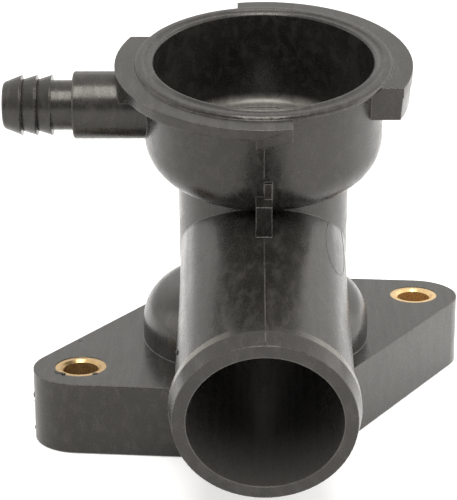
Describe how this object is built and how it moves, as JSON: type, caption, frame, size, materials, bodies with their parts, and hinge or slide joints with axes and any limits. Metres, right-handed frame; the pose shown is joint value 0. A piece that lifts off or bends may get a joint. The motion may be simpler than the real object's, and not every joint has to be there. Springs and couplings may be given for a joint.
{
  "type": "coolant filler neck",
  "caption": "Moulded coolant filler neck: bayonet filler cup on a leaning stem, beaded hose neck, barbed overflow nipple and a two-bolt flange with brass bushes.",
  "frame": {"origin": "midpoint between the two bolts on the flange's sealing face", "axes": "+Z out of the flange towards the filler cup, -Y towards the hose neck, +X to the right seen from the hose side"},
  "size_m": [0.0921, 0.102, 0.0798],
  "materials": {
    "black_nylon": "glass-filled nylon, semi-matt",
    "brass": "turned",
    "black_rubber": "smooth"
  },
  "bodies": {
    "root": {"neck_body": "black_nylon", "bush_left": "brass", "bush_right": "brass", "seal_ring": "black_rubber"}
  },
  "joints": []
}
